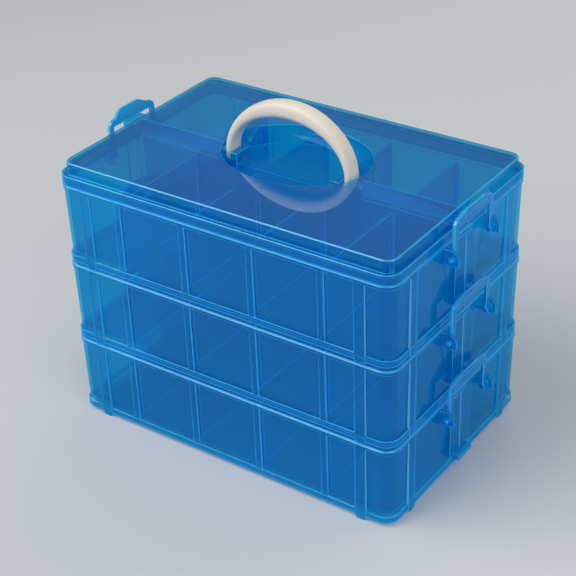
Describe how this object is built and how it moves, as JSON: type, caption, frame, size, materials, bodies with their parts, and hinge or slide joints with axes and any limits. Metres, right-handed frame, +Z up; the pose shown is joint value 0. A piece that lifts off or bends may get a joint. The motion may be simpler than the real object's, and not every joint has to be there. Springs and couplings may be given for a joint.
{
  "type": "sewing box with trays",
  "caption": "Stackable see-through box of three latched trays divided into small compartments, with a lid and a folding carry handle.",
  "frame": {"origin": "centre of the footprint, on the surface the feet stand on", "axes": "+X to the right along the long front face, +Y to the back, +Z up; the handle folds to +Y"},
  "size_m": [0.3464, 0.2126, 0.2885],
  "materials": {
    "tray_plastic": "clear saturated blue, injection moulded, polished",
    "divider_plastic": "clear blue, thin flat plates",
    "latch_plastic": "clear bright blue, polished",
    "lid_plastic": "clear blue, high polish flat top",
    "handle_plastic": "opaque cream white, smooth satin"
  },
  "bodies": {
    "tray_bottom": {"tray_bottom": "tray_plastic", "divider_bottom_front_1": "divider_plastic", "divider_bottom_front_2": "divider_plastic", "divider_bottom_front_3": "divider_plastic", "divider_bottom_front_4": "divider_plastic", "divider_bottom_back_1": "divider_plastic", "divider_bottom_back_2": "divider_plastic", "divider_bottom_back_3": "divider_plastic", "divider_bottom_back_4": "divider_plastic"},
    "latch_bottom_left": {"latch_bottom_left": "latch_plastic"},
    "latch_bottom_right": {"latch_bottom_right": "latch_plastic"},
    "tray_middle": {"tray_middle": "tray_plastic", "divider_middle_front_1": "divider_plastic", "divider_middle_front_2": "divider_plastic", "divider_middle_front_3": "divider_plastic", "divider_middle_front_4": "divider_plastic", "divider_middle_back_1": "divider_plastic", "divider_middle_back_2": "divider_plastic", "divider_middle_back_3": "divider_plastic", "divider_middle_back_4": "divider_plastic"},
    "latch_middle_left": {"latch_middle_left": "latch_plastic"},
    "latch_middle_right": {"latch_middle_right": "latch_plastic"},
    "tray_top": {"tray_top": "tray_plastic", "divider_top_front_1": "divider_plastic", "divider_top_front_2": "divider_plastic", "divider_top_front_3": "divider_plastic", "divider_top_front_4": "divider_plastic", "divider_top_back_1": "divider_plastic", "divider_top_back_2": "divider_plastic", "divider_top_back_3": "divider_plastic", "divider_top_back_4": "divider_plastic"},
    "latch_top_left": {"latch_top_left": "latch_plastic"},
    "latch_top_right": {"latch_top_right": "latch_plastic"},
    "lid": {"lid": "lid_plastic"},
    "handle": {"handle": "handle_plastic"}
  },
  "joints": [
    {"name": "tray_middle_lift", "type": "slide", "parent": "tray_bottom", "child": "tray_middle", "axis": [0, 0, 1], "range_m": [0, 0.06]},
    {"name": "tray_top_lift", "type": "slide", "parent": "tray_middle", "child": "tray_top", "axis": [0, 0, 1], "range_m": [0, 0.06]},
    {"name": "lid_lift", "type": "slide", "parent": "tray_top", "child": "lid", "axis": [0, 0, 1], "range_m": [0, 0.06]},
    {"name": "handle_fold", "type": "hinge", "parent": "lid", "child": "handle", "pos_m": [0, 0, 0.2319], "axis": [-1, 0, 0], "range_deg": [-5, 85]},
    {"name": "latch_bottom_left_swing", "type": "hinge", "parent": "tray_bottom", "child": "latch_bottom_left", "pos_m": [-0.16635, 0, 0.0636], "axis": [0, -1, 0], "range_deg": [0, 138]},
    {"name": "latch_bottom_right_swing", "type": "hinge", "parent": "tray_bottom", "child": "latch_bottom_right", "pos_m": [0.16635, 0, 0.0636], "axis": [0, 1, 0], "range_deg": [0, 138]},
    {"name": "latch_middle_left_swing", "type": "hinge", "parent": "tray_middle", "child": "latch_middle_left", "pos_m": [-0.16635, 0, 0.1376], "axis": [0, -1, 0], "range_deg": [0, 138]},
    {"name": "latch_middle_right_swing", "type": "hinge", "parent": "tray_middle", "child": "latch_middle_right", "pos_m": [0.16635, 0, 0.1376], "axis": [0, 1, 0], "range_deg": [0, 138]},
    {"name": "latch_top_left_swing", "type": "hinge", "parent": "tray_top", "child": "latch_top_left", "pos_m": [-0.16635, 0, 0.2116], "axis": [0, -1, 0], "range_deg": [0, 138]},
    {"name": "latch_top_right_swing", "type": "hinge", "parent": "tray_top", "child": "latch_top_right", "pos_m": [0.16635, 0, 0.2116], "axis": [0, 1, 0], "range_deg": [0, 138]}
  ],
  "couplings": [
    {"joint": "latch_bottom_left_swing", "follows": "tray_middle_lift", "rad_per_m": 40},
    {"joint": "latch_bottom_right_swing", "follows": "tray_middle_lift", "rad_per_m": 40},
    {"joint": "latch_middle_left_swing", "follows": "tray_top_lift", "rad_per_m": 40},
    {"joint": "latch_middle_right_swing", "follows": "tray_top_lift", "rad_per_m": 40},
    {"joint": "latch_top_left_swing", "follows": "lid_lift", "rad_per_m": 40},
    {"joint": "latch_top_right_swing", "follows": "lid_lift", "rad_per_m": 40}
  ]
}
